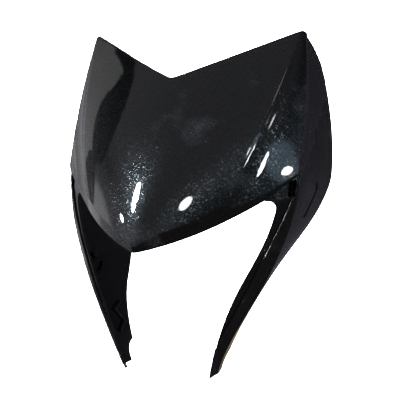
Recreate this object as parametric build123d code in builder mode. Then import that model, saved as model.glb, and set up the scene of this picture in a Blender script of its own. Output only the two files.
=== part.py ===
from build123d import *
import os

# Headlight cowl of a motorbike, moulded in one piece. Millimetres, +Z up, the nose points to -Y.
# The origin is midway between the two screw bosses, in the plane of their rear faces.
# Guide lines are drawn for the right-hand side (+X), and the left-hand side mirrors them.

# Wall of the moulding
WALL = 2.8

# Hood: guide lines as (height, half width, depth), each a parabola through three points,
# and the heights of its sections with how round the prow is at each (0 is a sharp edge, 0.5 a parabola)
HOOD_HEIGHTS = (-124.0, -85.0, -40.0, 15.0, 72.0)
PROW_ROUND = (0.22, 0.30, 0.42, 0.42, 0.36)
RIDGE = ((-100.0, 0.0, -130.0), (-32.0, 0.0, -91.0), (37.0, 0.0, -22.5))
CREASE = ((-80.0, 71.0, -88.0), (-20.0, 97.0, -45.0), (72.0, 117.6, 42.4))
FACET_EDGE = ((-56.0, 130.0, -31.0), (-9.0, 130.0, -3.0), (76.0, 118.0, 46.0))
FACET_HOLLOW = 0.08
CREASE_ROUND_HOOD = 0.05
CREASE_ROUND_FACET = 0.12
HOOD_RAKE = 1.25
RIM_DEPTH = 5.0
STEP_BEHIND_RIM = 4.0
RUN_OUT = 40.0

# Lip under the hood, from above as (half width, depth) and from the front as (half width, height)
LIP_NOSE = (0.0, -131.0)
LIP_BOW = (48.0, -103.8)
LIP_TURN = (82.0, -76.3)
LIP_END = (150.0, -11.4)
NOSE_RADIUS = 10.0
LIP_EDGE_NOSE = (0.0, -106.4)
LIP_EDGE_BOW = (55.0, -94.8)
LIP_EDGE_TURN = (109.0, -73.0)
LIP_EDGE_END = (140.0, -49.3)

# Cheeks: (height, half width at the boss plane, toe-in per millimetre of depth)
CHEEKS = (
    (-262.0, 39.5, 0.105),
    (-211.0, 55.6, 0.15),
    (-160.0, 87.2, 0.145),
    (-120.0, 117.2, 0.03),
    (-70.0, 129.8, 0.01),
    (0.0, 127.2, -0.03),
    (84.0, 113.6, -0.02),
)

# Arms: outer crease as (height, half width, depth), and how far their front sweeps back sideways
ARM_CREASE = (
    (-265.0, 44.0, -100.0),
    (-200.0, 78.0, -86.0),
    (-140.0, 111.5, -60.0),
    (-95.0, 126.5, -42.0),
    (-60.0, 130.5, -28.5),
    (-20.0, 131.0, -18.0),
)
ARM_SWEEP = 0.85
ARM_WALL_SLANT = 1.3

# Lamp opening between the arms and the stepped seat beside it, from the front as (half width, height)
OPENING_LINE = ((114.0, -72.0), (95.7, -129.5), (78.3, -161.6), (65.8, -190.0), (42.2, -266.0))
OPENING_RADIUS = 8.0
LIP_COVER = 3.0
SEAT_LINE = ((132.0, -55.0), (120.4, -91.0), (104.5, -126.0), (83.0, -168.0), (52.0, -222.0))
SEAT_DEPTH = 1.5
HOOD_CLEAR = (104.0, -22.0)

# Blind pocket in each arm under the facet's corner, from the front
POCKET_WIDTH = 6.0
POCKET_HEIGHT = 15.0
POCKET_CENTRE = (124.5, -69.0)
POCKET_DEPTH = 6.0
POCKET_WALL = 1.5

# Outlines that trim the moulding: crown and tips from the front, rear edge from the side
CROWN_NOTCH = (0.0, 36.0)
CROWN_PEAK = (119.5, 68.7)
CROWN_SIDE = (137.0, 20.0)
NOTCH_RADIUS = 20.0
PEAK_RADIUS = 6.0
REAR_PEAK = (42.0, 65.5)
REAR_SHOULDER = (56.5, 44.0)
REAR_SIDE = (61.0, 5.0)
REAR_KNEE = (58.0, -91.0)
KNEE_RADIUS = 25.0
REAR_BEND = (-3.0, -160.0)
REAR_SHANK = (-31.0, -178.5)
REAR_HOLLOW = (-56.0, -202.0)
REAR_HEEL = (-71.0, -226.5)
REAR_NECK = (-84.5, -238.0)
REAR_TOE = (-83.0, -250.0)
TIP_INNER = (48.4, -244.3)
TIP_OUTER = (57.5, -240.3)
TIP_SIDE = (67.0, -220.0)
TIP_RADIUS = 7.0

# Shallow recess on each cheek, from the side as (depth, height)
RECESS_CORNERS = ((-21.0, -65.0), (18.0, -80.0), (18.0, -88.0), (-6.0, -108.0), (-20.0, -102.0))
RECESS_RADIUS = 3.0
RECESS_DEPTH = 0.8

# Screw bosses behind the facets
BOSS_SPACING = 216.0
BOSS_RADIUS = 5.5
SCREW_RADIUS = 2.1
SCREW_DEPTH = 12.0

# Peg, rib and stepped clip on the inner face of each arm, from the side as (depth, height)
RELIEF_HEIGHT = 4.0
RELIEF_WALL = 2.0
PEG_CENTRE = (-51.5, -144.8)
PEG_RADIUS = 3.0
RIB_ENDS = ((-47.0, -154.0), (-58.0, -159.5))
CLIP_ZIGZAG = ((-61.0, -190.4), (-73.4, -194.1), (-70.7, -206.9), (-83.8, -213.3))

# Reach of the blocks that the outlines cut with
FRONT = -260.0
BACK = 90.0
SIDE = 240.0
BOTTOM = -300.0
TOP = 120.0
BELOW_HOOD = -105.0
ABOVE_ARMS = -25.0


def guide(height, line):
    """Point of a guide line at a height, on the parabola through its three points."""
    point = Vector(0, 0)
    for here in line:
        share = 1.0
        for other in line:
            if other is not here:
                share *= (height - other[0]) / (here[0] - other[0])
        point += Vector(here[1], here[2]) * share
    return point


def mirrored(point):
    return (-point[0], point[1])


def hood_section(height, roundness, inset, rim_depth):
    """The hood cut at a height: a rounded prow, a hollow facet on each side, and a rim or a deep back."""
    inward = inset * HOOD_RAKE
    ridge = guide(height, RIDGE) + Vector(0, inward)
    crease = guide(height, CREASE) + inward * Vector(-0.5, 0.85)
    edge = guide(height, FACET_EDGE) + inward * Vector(-0.6, 0.8)
    turn = Vector(roundness * crease.X, ridge.Y)
    across = edge - crease
    hollow = (crease + edge) * 0.5 + FACET_HOLLOW * Vector(-across.Y, across.X)
    if inset:
        right = [Bezier(ridge, turn, crease), Bezier(crease, hollow, edge)]
    else:
        prow_end = crease + (turn - crease) * CREASE_ROUND_HOOD
        facet_start = crease + (hollow - crease) * CREASE_ROUND_FACET
        right = [Bezier(ridge, turn, prow_end), Bezier(prow_end, crease, facet_start)]
        right.append(Bezier(facet_start, hollow, edge))
    if rim_depth:
        rear = edge + Vector(0, rim_depth)
        right.append(Line(edge, rear))
    else:
        run_out = edge + across.normalized() * RUN_OUT
        rear = Vector(run_out.X, BACK)
        right.append(Line(edge, run_out))
        right.append(Line(run_out, rear))
    left = [mirror(piece, about=Plane.YZ).edge() for piece in right]
    back = Line(rear, mirrored(tuple(rear)))
    return Plane.XY.offset(height) * Face(Wire(right + [back] + left))


def hood_form(inset, rim_depth=0.0):
    """Everything behind the hood's surface, or only a plug as deep as its rim."""
    sections = []
    for height, roundness in zip(HOOD_HEIGHTS, PROW_ROUND):
        sections.append(hood_section(height, roundness, inset, rim_depth))
    with BuildPart() as form:
        loft(sections)
    return form.part


def cheek_form(inset):
    """Everything between the outer faces of the two cheeks."""
    with BuildPart() as form:
        for depth in (FRONT, BACK):
            line = [(half_width - inset - toe_in * depth, height) for height, half_width, toe_in in CHEEKS]
            with BuildSketch(Plane.XZ.offset(-depth)):
                with BuildLine():
                    side = Spline(*line)
                    mirror(side, about=Plane.YZ)
                    Line(line[0], mirrored(line[0]))
                    Line(line[-1], mirrored(line[-1]))
                make_face()
        loft()
    return form.part


def arm_form(inset):
    """Everything behind the swept front of the two arms, and everything above them."""
    line = []
    for height, half_width, depth in ARM_CREASE:
        line.append((depth - ARM_SWEEP * half_width + ARM_WALL_SLANT * inset, height))
    with BuildPart() as form:
        with BuildSketch(Plane.YZ):
            with BuildLine():
                Spline(*line)
                Polyline(line[-1], (BACK, line[-1][1]), (BACK, line[0][1]), line[0])
            make_face()
        extrude(amount=2 * SIDE, dir=(1, ARM_SWEEP, 0))
        mirror(about=Plane.YZ)
        with BuildSketch(Plane.XY.offset(ABOVE_ARMS)):
            Rectangle(2 * SIDE, 2 * SIDE)
        extrude(amount=TOP - ABOVE_ARMS)
    return form.part


def lip_form(inset):
    """Everything behind the upright lip under the hood."""
    with BuildPart() as form:
        with BuildSketch(Plane.XY.offset(BOTTOM)) as plan:
            with BuildLine():
                bow = ThreePointArc(LIP_NOSE, LIP_BOW, LIP_TURN)
                run = Line(LIP_TURN, LIP_END)
                mirror(bow, about=Plane.YZ)
                mirror(run, about=Plane.YZ)
                Polyline(LIP_END, (SIDE, BACK), (-SIDE, BACK), mirrored(LIP_END))
            make_face()
            fillet(plan.vertices().sort_by(Axis.Y)[0], NOSE_RADIUS)
            if inset:
                offset(amount=-inset, mode=Mode.REPLACE)
        extrude(amount=TOP - BOTTOM)
    return form.part


def opening_form():
    """The lamp opening between the arms, through the whole depth."""
    corner = OPENING_LINE[0]
    foot = OPENING_LINE[-1]
    top_centre = (0, LIP_EDGE_NOSE[1] + LIP_COVER)
    top_bow = (LIP_EDGE_BOW[0], LIP_EDGE_BOW[1] + LIP_COVER)
    with BuildPart() as form:
        with BuildSketch(Plane.XZ.offset(-BACK)) as outline:
            with BuildLine():
                top = ThreePointArc(top_centre, top_bow, corner)
                side = Spline(*OPENING_LINE)
                mirror(top, about=Plane.YZ)
                mirror(side, about=Plane.YZ)
                Line(foot, mirrored(foot))
            make_face()
            corners = outline.vertices().filter_by_position(Axis.Y, corner[1] - 1, corner[1] + 1)
            fillet(corners, OPENING_RADIUS)
        extrude(amount=BACK - FRONT)
    return form.part


def seat_form(inset):
    """What is taken off the front of the arms beside the opening, for the lamp's rim."""
    line = [(half_width + inset, height) for half_width, height in SEAT_LINE]
    with BuildPart() as form:
        with BuildSketch(Plane.XZ.offset(-BACK)):
            with BuildLine():
                side = Spline(*line)
                mirror(side, about=Plane.YZ)
                Line(line[0], mirrored(line[0]))
                Line(line[-1], mirrored(line[-1]))
            make_face()
        extrude(amount=BACK - FRONT)
        add(arm_form(SEAT_DEPTH + inset), mode=Mode.SUBTRACT)
    return form.part


def lower_form(inset, behind):
    """Cheeks and arms as one block, kept behind the hood's surface."""
    with BuildPart() as behind_hood:
        add(hood_form(behind))
        with BuildSketch(Plane.XY.offset(BOTTOM)):
            Rectangle(2 * SIDE, 2 * SIDE)
        extrude(amount=BELOW_HOOD - BOTTOM)
    with BuildPart() as form:
        add(cheek_form(inset))
        add(arm_form(inset), mode=Mode.INTERSECT)
        add(behind_hood.part, mode=Mode.INTERSECT)
        add(seat_form(inset), mode=Mode.SUBTRACT)
    return form.part


def pocket_form(depth, margin):
    """The two pockets under the facet corners, down to a depth behind the seat and wider by a margin."""
    with BuildPart() as form:
        with BuildSketch(Plane.XZ.offset(-BACK)):
            with Locations(POCKET_CENTRE, mirrored(POCKET_CENTRE)):
                Rectangle(POCKET_WIDTH + 2 * margin, POCKET_HEIGHT + 2 * margin)
        extrude(amount=BACK - FRONT)
        add(arm_form(SEAT_DEPTH + depth), mode=Mode.SUBTRACT)
    return form.part


def outline_form():
    """What is trimmed away above the crown, behind the rear edge and below the tips."""
    tip_slope = (TIP_OUTER[1] - TIP_INNER[1]) / (TIP_OUTER[0] - TIP_INNER[0])
    tip_centre = (0, TIP_INNER[1] - tip_slope * TIP_INNER[0])
    with BuildPart() as form:
        with BuildSketch(Plane.XZ.offset(-BACK)) as crown:
            with BuildLine():
                right = Polyline(CROWN_NOTCH, CROWN_PEAK, CROWN_SIDE, (SIDE, CROWN_SIDE[1]), (SIDE, TOP))
                mirror(right, about=Plane.YZ)
                Line((SIDE, TOP), (-SIDE, TOP))
            make_face()
            notch = crown.vertices().filter_by_position(Axis.Y, CROWN_NOTCH[1] - 1, CROWN_NOTCH[1] + 1)
            fillet(notch, NOTCH_RADIUS)
            peaks = crown.vertices().filter_by_position(Axis.Y, CROWN_PEAK[1] - 1, CROWN_PEAK[1] + 1)
            fillet(peaks, PEAK_RADIUS)
        extrude(amount=BACK - FRONT)
        with BuildSketch(Plane.YZ.offset(-SIDE)) as rear:
            with BuildLine():
                ThreePointArc(REAR_PEAK, REAR_SHOULDER, REAR_SIDE)
                Polyline(REAR_SIDE, REAR_KNEE, REAR_BEND, REAR_SHANK)
                ThreePointArc(REAR_SHANK, REAR_HOLLOW, REAR_HEEL)
                ThreePointArc(REAR_HEEL, REAR_NECK, REAR_TOE)
                Polyline(REAR_TOE, (REAR_TOE[0], BOTTOM), (BACK, BOTTOM), (BACK, TOP), (REAR_PEAK[0], TOP),
                         REAR_PEAK)
            make_face()
            knee = rear.vertices().filter_by_position(Axis.Y, REAR_KNEE[1] - 1, REAR_KNEE[1] + 1)
            fillet(knee.sort_by(Axis.X)[0], KNEE_RADIUS)
        extrude(amount=2 * SIDE)
        with BuildSketch(Plane.XZ.offset(-BACK)) as tips:
            with BuildLine():
                right = Polyline(tip_centre, TIP_OUTER, TIP_SIDE, (SIDE, TIP_SIDE[1]), (SIDE, BOTTOM))
                mirror(right, about=Plane.YZ)
                Line((SIDE, BOTTOM), (-SIDE, BOTTOM))
            make_face()
            corners = tips.vertices().filter_by_position(Axis.Y, TIP_OUTER[1] - 1, TIP_OUTER[1] + 1)
            fillet(corners, TIP_RADIUS)
        extrude(amount=BACK - FRONT)
    return form.part


with BuildPart() as hood_hollow:
    add(hood_form(WALL))
    add(lip_form(WALL), mode=Mode.INTERSECT)
    add(cheek_form(WALL), mode=Mode.INTERSECT)

with BuildPart() as hood:
    add(hood_form(0, RIM_DEPTH))
    add(lip_form(0), mode=Mode.INTERSECT)
    with BuildSketch(Plane.XZ.offset(-BACK)):
        with BuildLine():
            bow = ThreePointArc(LIP_EDGE_NOSE, LIP_EDGE_BOW, LIP_EDGE_TURN)
            run = Line(LIP_EDGE_TURN, LIP_EDGE_END)
            mirror(bow, about=Plane.YZ)
            mirror(run, about=Plane.YZ)
            Polyline(LIP_EDGE_END, (SIDE, LIP_EDGE_END[1]), (SIDE, BOTTOM), (-SIDE, BOTTOM),
                     (-SIDE, LIP_EDGE_END[1]), mirrored(LIP_EDGE_END))
        make_face()
    extrude(amount=BACK - FRONT, mode=Mode.SUBTRACT)
    add(outline_form(), mode=Mode.SUBTRACT)
    add(hood_hollow.part, mode=Mode.SUBTRACT)

with BuildPart() as rim_step:
    with BuildSketch(Plane.XY.offset(FACET_EDGE[0][0])):
        Rectangle(2 * SIDE, 2 * SIDE)
    extrude(amount=TOP - FACET_EDGE[0][0])
    add(hood_form(STEP_BEHIND_RIM), mode=Mode.SUBTRACT)

with BuildPart() as recess:
    with BuildSketch(Plane.YZ.offset(-SIDE)) as patch:
        with BuildLine():
            Polyline(*RECESS_CORNERS, close=True)
        make_face()
        fillet(patch.vertices(), RECESS_RADIUS)
    extrude(amount=2 * SIDE)
    add(cheek_form(RECESS_DEPTH), mode=Mode.SUBTRACT)

with BuildPart() as relief:
    with BuildSketch(Plane.YZ.offset(-SIDE)):
        with Locations(PEG_CENTRE):
            Circle(PEG_RADIUS)
        with BuildLine():
            Line(*RIB_ENDS)
        trace(line_width=RELIEF_WALL)
        with BuildLine():
            Polyline(*CLIP_ZIGZAG)
        trace(line_width=RELIEF_WALL)
    extrude(amount=2 * SIDE)
    add(cheek_form(WALL / 2), mode=Mode.INTERSECT)
    add(cheek_form(WALL + RELIEF_HEIGHT), mode=Mode.SUBTRACT)

with BuildPart() as bosses:
    with BuildSketch(Plane.XZ):
        with GridLocations(BOSS_SPACING, 0, 2, 1):
            Circle(BOSS_RADIUS)
    extrude(amount=-FRONT)
    add(hood_form(WALL / 2), mode=Mode.INTERSECT)
    with BuildSketch(Plane.XZ):
        with GridLocations(BOSS_SPACING, 0, 2, 1):
            Circle(SCREW_RADIUS)
    extrude(amount=SCREW_DEPTH, mode=Mode.SUBTRACT)

with BuildPart() as pocket_backs:
    add(pocket_form(POCKET_DEPTH + POCKET_WALL, POCKET_WALL))
    add(lower_form(WALL / 2, WALL / 2), mode=Mode.INTERSECT)

with BuildPart() as cowl:
    add(lower_form(0, WALL / 2))
    add(opening_form(), mode=Mode.SUBTRACT)
    with BuildSketch(Plane.XZ.offset(-BACK)):
        with Locations((0, (LIP_EDGE_NOSE[1] + HOOD_CLEAR[1]) / 2)):
            Rectangle(2 * HOOD_CLEAR[0], HOOD_CLEAR[1] - LIP_EDGE_NOSE[1])
    extrude(amount=BACK - FRONT, mode=Mode.SUBTRACT)
    add(rim_step.part, mode=Mode.SUBTRACT)
    add(recess.part, mode=Mode.SUBTRACT)
    add(outline_form(), mode=Mode.SUBTRACT)
    add(lower_form(WALL, WALL / 4), mode=Mode.SUBTRACT)
    add(pocket_backs.part)
    add(pocket_form(POCKET_DEPTH, 0), mode=Mode.SUBTRACT)
    add(hood.part)
    add(relief.part)
    add(bosses.part)

os.makedirs("parts", exist_ok=True)
cowl.part.label = "cowl"
export_step(cowl.part, "parts/cowl.step")
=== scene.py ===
import math

import bpy
from mathutils import Matrix, Vector


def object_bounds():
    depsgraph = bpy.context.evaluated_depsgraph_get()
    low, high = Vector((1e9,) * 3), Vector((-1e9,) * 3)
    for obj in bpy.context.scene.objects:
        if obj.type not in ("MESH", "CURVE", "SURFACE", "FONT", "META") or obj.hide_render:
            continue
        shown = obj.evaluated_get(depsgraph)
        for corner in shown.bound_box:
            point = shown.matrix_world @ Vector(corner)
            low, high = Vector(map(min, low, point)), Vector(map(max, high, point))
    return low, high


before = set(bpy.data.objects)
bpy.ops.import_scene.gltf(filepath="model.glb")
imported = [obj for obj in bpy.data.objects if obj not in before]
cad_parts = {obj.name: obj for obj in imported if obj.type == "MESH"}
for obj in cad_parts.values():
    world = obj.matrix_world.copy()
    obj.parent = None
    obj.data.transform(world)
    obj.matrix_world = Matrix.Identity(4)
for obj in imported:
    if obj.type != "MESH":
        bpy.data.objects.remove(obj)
cad_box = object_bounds()
scene = bpy.context.scene

MM = 0.001
UP = Vector((0, 0, 1))

# Camera: where it stands, the point it looks at, its roll in degrees, and its lens
CAMERA_PLACE = Vector((583.0, -1021.0, 274.5)) * MM
CAMERA_TARGET = Vector((0.0, 6.6, -99.7)) * MM
CAMERA_ROLL = -7.0
CAMERA_LENS = 108.0
SENSOR = 36.0

# Studio: a white floor, a white backdrop, and a dim room that the gloss mirrors
FLOOR_SIZE = 9.0
FLOOR_COLOUR = (0.9, 0.9, 0.9)
FLOOR_ROUGHNESS = 0.9
FLOOR_GLOW = 0.45
GLOW_COLOUR = (1.0, 1.0, 1.0)
BACKDROP_COLOUR = (1.0, 1.0, 1.0)
# Soft lights that do not show in the gloss: azimuth, elevation, distance and size (m), power (W)
SOFT_LIGHTS = {
    "floor_light": (0.0, 90.0, 4.0, 6.0, 650.0),
    "inside_light": (-140.0, 25.0, 2.0, 1.0, 600.0),
}
ROOM_COLOUR = Vector((0.078, 0.077, 0.092))
DARKEST = (0.008, 0.008, 0.010)
# Soft ovals of the room, laid one over the other: azimuth and elevation of the middle, half angles of
# the long and short axes, roll (all in degrees), how many times wider the oval is where it has faded,
# and its colour, which is below zero where it takes light away
GLOWS = {
    "ceiling": (-20.0, 50.0, 44.0, 44.0, 0.0, 1.32, (0.215, 0.213, 0.215)),
    "blue_row": (57.5, 23.3, 12.0, 3.2, 141.0, 1.6, (0.7, 1.0, 1.25)),
    "right_glow": (97.0, 16.0, 14.0, 14.0, 0.0, 2.0, (0.11, 0.11, 0.115)),
    "left_front": (-75.0, -5.0, 13.0, 13.0, 0.0, 2.1, (0.20, 0.20, 0.20)),
    "warm_front": (50.0, -28.0, 18.0, 18.0, 0.0, 2.3, (0.035, 0.022, 0.003)),
    "warm_back": (-164.5, -31.5, 9.0, 2.2, 23.0, 1.4, (0.17, 0.115, 0.04)),
    "left_spot": (-91.0, -4.0, 5.0, 5.0, 0.0, 2.2, (0.70, 0.70, 0.71)),
    "dark_oval": (-100.0, 26.0, 19.0, 13.2, 90.0, 1.1, (-0.4, -0.4, -0.4)),
    "left_panel": (-97.5, 17.6, 23.7, 3.5, 87.3, 1.05, (0.64, 0.64, 0.645)),
    "left_wall": (-113.0, -1.0, 18.0, 13.0, 90.0, 1.08, (0.28, 0.28, 0.285)),
    "left_stripe": (-104.0, 14.0, 14.0, 3.0, 90.0, 1.2, (0.5, 0.5, 0.51)),
    "left_low": (-112.0, -18.0, 16.0, 3.0, 0.0, 1.4, (0.15, 0.15, 0.15)),
    "dark_oval_low": (-97.0, 1.0, 9.0, 2.4, 69.0, 1.2, (-1.2, -1.2, -1.2)),
}
# Oval lamps: the point that each one faces (mm), its azimuth and elevation from there, the long and
# short angles that it fills, its roll (all in degrees) and its glare
LAMP_DISTANCE = 2.0
LAMPS = {
    "prow_lamp": ((-3, -109, -57), -46.9, 33.9, 15.0, 6.0, 80.0, 150.0),
    "nose_lamp": ((44, -100, -65), 25.3, 22.6, 8.6, 5.3, 122.0, 26.0),
    "corner_lamp": ((121, -34, -51), 47.2, 29.2, 6.5, 2.2, 126.0, 60.0),
    "side_lamp": ((-17, -117, -77), -67.8, 12.0, 4.2, 2.2, 44.0, 120.0),
    "facet_lamp": ((102, -47, -43), 65.0, 12.8, 8.0, 4.5, 30.0, 42.0),
    "upper_lamp": ((106, -27, -6), 83.5, 11.0, 5.0, 2.2, 60.0, 14.0),
    "ridge_lamp": ((95, -30, 10), 60.0, 46.0, 16.0, 3.0, 90.0, 7.0),
}

# Where each finish lies: faces that look towards an upright line, this far behind the screw bosses, are
# bare, and the other faces below a sloping plane belong to the arms
CORE_DEPTH = 30.0 * MM
INSIDE_LIMIT = -0.2
ARM_SLOPE = 0.7
ARM_LIMIT = -45.0 * MM
HOOD_SLOT, ARM_SLOT, INSIDE_SLOT = range(3)

# Flake paint on the hood: fine metal, and flakes that can be seen one by one
FINE_FLAKE_COLOUR = (0.0040, 0.0050, 0.0058)
FINE_FLAKE_ROUGHNESS = 0.3
FLAKE_SIZE = 0.55 * MM
FLAKE_DENSITY = 0.3
FLAKE_TILT = 0.22
RANDOM_MIDDLE = (0.5, 0.5, 0.5)
FLAKE_COLOUR = (0.018, 0.023, 0.027)
FLAKE_ROUGHNESS = 0.14
FLAKE_FILM = (0.009, 0.009, 0.0094)
FLAKE_SCRATCH = (0.02, 0.021, 0.023)
HOOD_EDGE_ROUND = 1.4 * MM

# Plain gloss on the arms
PLAIN_COLOUR = (0.0006, 0.0006, 0.0008)
PLAIN_ROUGHNESS = 0.6
PLAIN_FILM = (0.0045, 0.0045, 0.0050)
PLAIN_SCRATCH = (0.002, 0.002, 0.0022)
ARM_EDGE_ROUND = 0.6 * MM

# Clear coat over both, with its hairlines and dust, and painted shade: ambient occlusion turns the coat's
# gloss down in grooves and inner corners
COAT_ROUGHNESS = 0.03
COAT_IOR = 1.5
EDGE_SAMPLES = 6
SCRATCH_LENGTH = 16.0 * MM
SCRATCH_SPACING = 5.0 * MM
SCRATCH_WIDTH = 0.06 * MM
SCRATCH_TURNS = (20.0, 75.0, 140.0)
SCRATCH_REACH = 0.35
DUST_PATCH = 45.0 * MM
DUST_SHIFT = Vector((18.0, 23.0, 19.0)) * MM
DUST_DETAIL = 5.0
FILM_STARTS = 0.58
FILM_FULL = 0.85
DUST_SPACING = 9.0 * MM
DUST_SPECK = 0.35 * MM
SPECK_COLOUR = (0.12, 0.12, 0.12)
# Painted shade: how far ambient occlusion looks, and the occlusion at which the coat's gloss is fully down
# and fully up
GROOVE_SHADE_WIDTH = 5.0 * MM
GROOVE_SHADE_SAMPLES = 8
GROOVE_SHADE_SHUT = 0.6
GROOVE_SHADE_OPEN = 0.96

# Bare plastic inside the shell, with the grain of the mould
BARE_COLOUR = (0.0017, 0.0017, 0.0020)
BARE_ROUGHNESS = 0.3
BARE_SHINE = 0.2
GRAIN_SIZE = 0.6 * MM
GRAIN_DETAIL = 3.0
GRAIN_STRENGTH = 0.2
GRAIN_HEIGHT = 0.05 * MM

# Sockets of a colour mix: its node has others of the same names for numbers and vectors
MIX_FIRST = 6
MIX_SECOND = 7
MIX_RESULT = 2


def fill_inputs(tree, inputs, values):
    """Each input holds its value, or is linked to it where the value is a socket."""
    for name, value in values.items():
        if isinstance(value, bpy.types.NodeSocket):
            tree.links.new(value, inputs[name])
        else:
            inputs[name].default_value = value


def add_node(tree, kind, inputs=None, **settings):
    """A new node with its settings and its filled inputs."""
    node = tree.nodes.new(kind)
    for name, value in settings.items():
        setattr(node, name, value)
    fill_inputs(tree, node.inputs, inputs or {})
    return node


def maths(tree, operation, *values):
    return add_node(tree, "ShaderNodeMath", dict(enumerate(values)), operation=operation).outputs[0]


def vector_maths(tree, operation, *values):
    """The outputs of a node of vector maths: a vector, or a value for lengths and dot products."""
    return add_node(tree, "ShaderNodeVectorMath", dict(enumerate(values)), operation=operation).outputs


def scaled(tree, vector, scale):
    node = add_node(tree, "ShaderNodeVectorMath", {0: vector, "Scale": scale}, operation="SCALE")
    return node.outputs["Vector"]


def opaque(colour):
    return (*colour, 1.0)


def mix_colours(tree, factor, first, second):
    """The first colour where the factor is 0, the second where it is 1."""
    inputs = {"Factor": factor}
    for place, colour in ((MIX_FIRST, first), (MIX_SECOND, second)):
        inputs[place] = colour if isinstance(colour, bpy.types.NodeSocket) else opaque(colour)
    return add_node(tree, "ShaderNodeMix", inputs, data_type="RGBA").outputs[MIX_RESULT]


def object_place(tree):
    return add_node(tree, "ShaderNodeTexCoord").outputs["Object"]


def new_group(name, inputs, outputs):
    """An empty shader group with its named sockets, and the nodes that hold them."""
    group = bpy.data.node_groups.new(name, "ShaderNodeTree")
    for label in inputs:
        group.interface.new_socket(label, in_out="INPUT", socket_type="NodeSocketFloat")
    for label, kind in outputs.items():
        group.interface.new_socket(label, in_out="OUTPUT", socket_type=kind)
    given = group.nodes.new("NodeGroupInput").outputs
    result = group.nodes.new("NodeGroupOutput").inputs
    return group, given, result


def metal_flake_group():
    """Flat flakes in the paint: which points lie on one, and how each one is tilted."""
    outputs = {"Mask": "NodeSocketFloat", "Normal": "NodeSocketVector"}
    group, given, result = new_group("metal_flake", ["Size", "Density", "Tilt"], outputs)
    scale = maths(group, "DIVIDE", 1.0, given["Size"])
    cells = add_node(group, "ShaderNodeTexVoronoi", {"Vector": object_place(group), "Scale": scale})
    cell_colour = cells.outputs["Color"]
    chance = add_node(group, "ShaderNodeSeparateColor", {"Color": cell_colour}).outputs["Red"]
    random = add_node(group, "ShaderNodeTexWhiteNoise", {"Vector": cell_colour}).outputs["Color"]
    centred = vector_maths(group, "SUBTRACT", random, RANDOM_MIDDLE)["Vector"]
    tilt = scaled(group, centred, given["Tilt"])
    surface = add_node(group, "ShaderNodeNewGeometry").outputs["Normal"]
    tilted = vector_maths(group, "ADD", surface, tilt)["Vector"]
    fill_inputs(group, result, {
        "Mask": maths(group, "LESS_THAN", chance, given["Density"]),
        "Normal": vector_maths(group, "NORMALIZE", tilted)["Vector"],
    })
    return group


def hairline_group():
    """Short hairlines that cross in a few directions, each one a thin slice through a long cell."""
    outputs = {"Mask": "NodeSocketFloat"}
    group, given, result = new_group("hairlines", ["Length", "Spacing", "Width"], outputs)
    place = object_place(group)
    across = maths(group, "DIVIDE", 1.0, given["Spacing"])
    along = maths(group, "DIVIDE", 1.0, given["Length"])
    stretch = add_node(group, "ShaderNodeCombineXYZ", {"X": along, "Y": across, "Z": across})
    half_width = maths(group, "DIVIDE", given["Width"], given["Spacing"])
    total = 0.0
    for turn in SCRATCH_TURNS:
        angle = math.radians(turn)
        turned = add_node(group, "ShaderNodeMapping", {
            "Vector": place, "Rotation": (angle / 2, angle, angle),
        })
        stretched = vector_maths(
            group, "MULTIPLY", turned.outputs["Vector"], stretch.outputs["Vector"]
        )["Vector"]
        cells = add_node(group, "ShaderNodeTexVoronoi", {"Vector": stretched, "Scale": 1.0})
        offset = vector_maths(group, "SUBTRACT", stretched, cells.outputs["Position"])["Vector"]
        split = add_node(group, "ShaderNodeSeparateXYZ", {"Vector": offset}).outputs
        thin = maths(group, "LESS_THAN", maths(group, "ABSOLUTE", split["Y"]), half_width)
        short = maths(group, "LESS_THAN", maths(group, "ABSOLUTE", split["X"]), SCRATCH_REACH)
        total = maths(group, "MAXIMUM", total, maths(group, "MULTIPLY", thin, short))
    fill_inputs(group, result, {"Mask": total})
    return group


def dust_group():
    """A thin film of dust in soft patches, and a few specks."""
    outputs = {"Film": "NodeSocketFloat", "Specks": "NodeSocketFloat"}
    group, given, result = new_group("dust", ["Patch", "Spacing", "Speck"], outputs)
    place = object_place(group)
    noise = add_node(group, "ShaderNodeTexNoise", {
        "Vector": vector_maths(group, "ADD", place, DUST_SHIFT)["Vector"],
        "Scale": maths(group, "DIVIDE", 1.0, given["Patch"]), "Detail": DUST_DETAIL,
    })
    film = add_node(group, "ShaderNodeMapRange", {
        "Value": noise.outputs["Fac"], "From Min": FILM_STARTS, "From Max": FILM_FULL,
    })
    spread = maths(group, "DIVIDE", 1.0, given["Spacing"])
    cells = add_node(group, "ShaderNodeTexVoronoi", {"Vector": place, "Scale": spread})
    speck_size = maths(group, "DIVIDE", given["Speck"], given["Spacing"])
    fill_inputs(group, result, {
        "Film": film.outputs["Result"],
        "Specks": maths(group, "LESS_THAN", cells.outputs["Distance"], speck_size),
    })
    return group


def groove_shade_group():
    """Painted shade from ambient occlusion: how open the surface lies, so that grooves and inner corners
    shine less.
    """
    group, given, result = new_group("grooves", ["Width"], {"Unshaded": "NodeSocketFloat"})
    shade = add_node(group, "ShaderNodeAmbientOcclusion", {
        "Distance": given["Width"],
    }, samples=GROOVE_SHADE_SAMPLES, only_local=True)
    unshaded_part = add_node(group, "ShaderNodeMapRange", {
        "Value": shade.outputs["AO"], "From Min": GROOVE_SHADE_SHUT, "From Max": GROOVE_SHADE_OPEN,
    })
    fill_inputs(group, result, {"Unshaded": unshaded_part.outputs["Result"]})
    return group


def grain_group():
    """Fine leathery grain of the mould on the bare plastic."""
    group, given, result = new_group("mould_grain", ["Size"], {"Height": "NodeSocketFloat"})
    scale = maths(group, "DIVIDE", 1.0, given["Size"])
    noise = add_node(group, "ShaderNodeTexNoise", {
        "Vector": object_place(group), "Scale": scale, "Detail": GRAIN_DETAIL,
    })
    fill_inputs(group, result, {"Height": noise.outputs["Fac"]})
    return group


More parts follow.
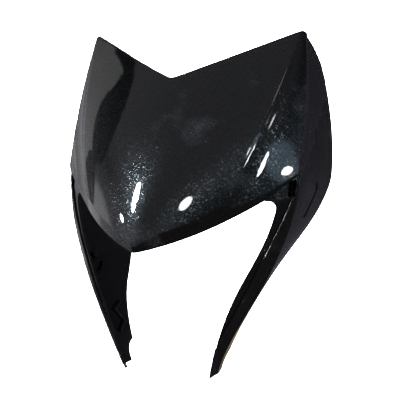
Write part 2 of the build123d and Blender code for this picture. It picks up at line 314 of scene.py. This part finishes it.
def new_material(name):
    material = bpy.data.materials.new(name)
    material.use_nodes = True
    tree = material.node_tree
    return material, tree, tree.nodes["Principled BSDF"].inputs


def rounded_edge(tree, radius):
    return add_node(tree, "ShaderNodeBevel", {"Radius": radius}, samples=EDGE_SAMPLES).outputs["Normal"]


def gloss_coat(name, groups, edge_round):
    """A material with a clear coat that has rounded edges and painted shade that dulls it in grooves, and
    the masks of its wear.
    """
    material, tree, shader = new_material(name)
    # Painted shade: ambient occlusion turns the coat down in grooves and inner corners
    groove_shade = add_node(tree, "ShaderNodeGroup", {"Width": GROOVE_SHADE_WIDTH}, node_tree=groups["groove_shade"])
    fill_inputs(tree, shader, {
        "Specular IOR Level": 0.0,
        "Coat Roughness": COAT_ROUGHNESS,
        "Coat IOR": COAT_IOR,
        "Coat Normal": rounded_edge(tree, edge_round),
        "Coat Weight": groove_shade.outputs["Unshaded"],
    })
    hairlines = add_node(tree, "ShaderNodeGroup", {
        "Length": SCRATCH_LENGTH, "Spacing": SCRATCH_SPACING, "Width": SCRATCH_WIDTH,
    }, node_tree=groups["hairline"])
    dust = add_node(tree, "ShaderNodeGroup", {
        "Patch": DUST_PATCH, "Spacing": DUST_SPACING, "Speck": DUST_SPECK,
    }, node_tree=groups["dust"])
    return material, tree, shader, hairlines.outputs["Mask"], dust.outputs


def worn_colour(tree, colour, hairlines, dust, film_colour, scratch_colour):
    """The body's colour under its film of dust, specks and hairlines."""
    filmed = mix_colours(tree, dust["Film"], colour, film_colour)
    specked = mix_colours(tree, dust["Specks"], filmed, SPECK_COLOUR)
    return mix_colours(tree, hairlines, specked, scratch_colour)


def flake_paint(groups):
    """Black paint with fine metal in it and flakes that can be seen one by one."""
    material, tree, shader, hairlines, dust = gloss_coat("flake_black_paint", groups, HOOD_EDGE_ROUND)
    flake = add_node(tree, "ShaderNodeGroup", {
        "Size": FLAKE_SIZE, "Density": FLAKE_DENSITY, "Tilt": FLAKE_TILT,
    }, node_tree=metal_flake_group())
    is_flake = flake.outputs["Mask"]
    body = worn_colour(tree, FINE_FLAKE_COLOUR, hairlines, dust, FLAKE_FILM, FLAKE_SCRATCH)
    rough = add_node(tree, "ShaderNodeMapRange", {
        "Value": is_flake, "To Min": FINE_FLAKE_ROUGHNESS, "To Max": FLAKE_ROUGHNESS,
    })
    fill_inputs(tree, shader, {
        "Base Color": mix_colours(tree, is_flake, body, FLAKE_COLOUR),
        "Metallic": maths(tree, "SUBTRACT", 1.0, dust["Film"]),
        "Roughness": rough.outputs["Result"],
        "Normal": flake.outputs["Normal"],
    })
    return material


def plain_gloss(groups):
    """Plain black under the coat, without metal in it."""
    material, tree, shader, hairlines, dust = gloss_coat("plain_black_gloss", groups, ARM_EDGE_ROUND)
    fill_inputs(tree, shader, {
        "Base Color": worn_colour(tree, PLAIN_COLOUR, hairlines, dust, PLAIN_FILM, PLAIN_SCRATCH),
        "Roughness": PLAIN_ROUGHNESS,
    })
    return material


def bare_plastic():
    material, tree, shader = new_material("bare_black_plastic")
    grain = add_node(tree, "ShaderNodeGroup", {"Size": GRAIN_SIZE}, node_tree=grain_group())
    bump = add_node(tree, "ShaderNodeBump", {
        "Height": grain.outputs["Height"], "Normal": rounded_edge(tree, HOOD_EDGE_ROUND),
        "Strength": GRAIN_STRENGTH, "Distance": GRAIN_HEIGHT,
    })
    fill_inputs(tree, shader, {
        "Base Color": opaque(BARE_COLOUR),
        "Roughness": BARE_ROUGHNESS,
        "Specular IOR Level": BARE_SHINE,
        "Normal": bump.outputs["Normal"],
    })
    return material


def pale_floor():
    material, tree, shader = new_material("pale_floor")
    fill_inputs(tree, shader, {
        "Base Color": opaque(FLOOR_COLOUR),
        "Roughness": FLOOR_ROUGHNESS,
        "Emission Color": opaque(GLOW_COLOUR),
        "Emission Strength": FLOOR_GLOW,
    })
    return material


def finish_cowl():
    """Flake paint on the hood, plain gloss on the arms, bare plastic on the faces inside the shell."""
    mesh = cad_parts["cowl"].data
    groups = {"hairline": hairline_group(), "dust": dust_group(), "groove_shade": groove_shade_group()}
    finishes = {
        HOOD_SLOT: flake_paint(groups),
        ARM_SLOT: plain_gloss(groups),
        INSIDE_SLOT: bare_plastic(),
    }
    mesh.materials.clear()
    for slot in sorted(finishes):
        mesh.materials.append(finishes[slot])
    for face in mesh.polygons:
        outwards = face.center - Vector((0, CORE_DEPTH, face.center.z))
        if face.normal.dot(outwards.normalized()) < INSIDE_LIMIT:
            face.material_index = INSIDE_SLOT
        elif face.center.z - ARM_SLOPE * face.center.y < ARM_LIMIT:
            face.material_index = ARM_SLOT


def place_in_scene(thing, place, target, roll=0.0):
    """Puts a camera or a light in the scene, turned towards its target; the roll is in degrees."""
    scene.collection.objects.link(thing)
    aim = (target - place).to_track_quat("-Z", "Y").to_matrix().to_4x4()
    thing.matrix_world = Matrix.Translation(place) @ aim @ Matrix.Rotation(math.radians(roll), 4, "Z")


def add_camera():
    data = bpy.data.cameras.new("camera")
    data.lens = CAMERA_LENS
    data.sensor_width = SENSOR
    camera = bpy.data.objects.new("camera", data)
    place_in_scene(camera, CAMERA_PLACE, CAMERA_TARGET, CAMERA_ROLL)
    scene.camera = camera


def add_floor():
    """A square floor at the cowl's lowest point, which does not show in the gloss."""
    mesh = bpy.data.meshes.new("floor")
    half = FLOOR_SIZE / 2
    height = cad_box[0].z
    corners = [(-half, -half, height), (half, -half, height), (half, half, height), (-half, half, height)]
    mesh.from_pydata(corners, [], [(0, 1, 2, 3)])
    mesh.materials.append(pale_floor())
    floor = bpy.data.objects.new("floor", mesh)
    scene.collection.objects.link(floor)
    floor.visible_glossy = False


def direction(azimuth, elevation):
    """Unit vector; azimuth 0 is in front of the nose and grows towards +X, both in degrees."""
    turn = math.radians(azimuth)
    rise = math.radians(elevation)
    return Vector((math.sin(turn) * math.cos(rise), -math.cos(turn) * math.cos(rise), math.sin(rise)))


def new_area_light(name, size, power):
    data = bpy.data.lights.new(name, "AREA")
    data.size = size
    data.energy = power
    return bpy.data.objects.new(name, data)


def add_lamp(name, seen_at, azimuth, elevation, long_angle, short_angle, roll, glare):
    """An oval lamp whose glare is the same whatever its size."""
    length = 2 * LAMP_DISTANCE * math.tan(math.radians(long_angle) / 2)
    width = 2 * LAMP_DISTANCE * math.tan(math.radians(short_angle) / 2)
    area = math.pi * length * width / 4
    lamp = new_area_light(name, length, glare * math.pi * area)
    lamp.data.shape = "ELLIPSE"
    lamp.data.size_y = width
    target = Vector(seen_at) * MM
    place_in_scene(lamp, target + LAMP_DISTANCE * direction(azimuth, elevation), target, roll)


def add_soft_light(name, azimuth, elevation, distance, size, power):
    light = new_area_light(name, size, power)
    place_in_scene(light, distance * direction(azimuth, elevation), Vector((0, 0, 0)))
    light.visible_glossy = False


def oval_mask(tree, view, azimuth, elevation, long_angle, short_angle, roll, fade):
    """1 in an oval part of the room and 0 outside it, with a soft border."""
    towards = direction(azimuth, elevation)
    level = UP.cross(towards).normalized()
    turn = Matrix.Rotation(math.radians(roll), 3, towards)
    long_axis = turn @ level / math.sin(math.radians(long_angle))
    short_axis = turn @ towards.cross(level) / math.sin(math.radians(short_angle))
    along, across, ahead = (
        vector_maths(tree, "DOT_PRODUCT", view, axis)["Value"] for axis in (long_axis, short_axis, towards)
    )
    offset = add_node(tree, "ShaderNodeCombineXYZ", {"X": along, "Y": across}).outputs["Vector"]
    inside = add_node(tree, "ShaderNodeMapRange", {
        "Value": vector_maths(tree, "LENGTH", offset)["Value"], "From Min": fade, "From Max": 1.0,
    }, interpolation_type="SMOOTHSTEP")
    return maths(tree, "MULTIPLY", inside.outputs["Result"], maths(tree, "GREATER_THAN", ahead, 0.0))


def add_room():
    """A dim room with soft glows and dark places, and a white backdrop behind the cowl."""
    world = bpy.data.worlds.new("room")
    world.use_nodes = True
    tree = world.node_tree
    view = add_node(tree, "ShaderNodeTexCoord").outputs["Generated"]
    total = ROOM_COLOUR
    for *oval, colour in GLOWS.values():
        glow = scaled(tree, colour, oval_mask(tree, view, *oval))
        added = vector_maths(tree, "ADD", total, glow)["Vector"]
        total = vector_maths(tree, "MAXIMUM", added, DARKEST)["Vector"]
    seen = add_node(tree, "ShaderNodeLightPath").outputs["Is Camera Ray"]
    backdrop = mix_colours(tree, seen, total, BACKDROP_COLOUR)
    fill_inputs(tree, tree.nodes["Background"].inputs, {"Color": backdrop})
    scene.world = world


scene.view_settings.view_transform = "Standard"
finish_cowl()
add_camera()
add_floor()
add_room()
for light_name, light_values in SOFT_LIGHTS.items():
    add_soft_light(light_name, *light_values)
for lamp_name, lamp_values in LAMPS.items():
    add_lamp(lamp_name, *lamp_values)
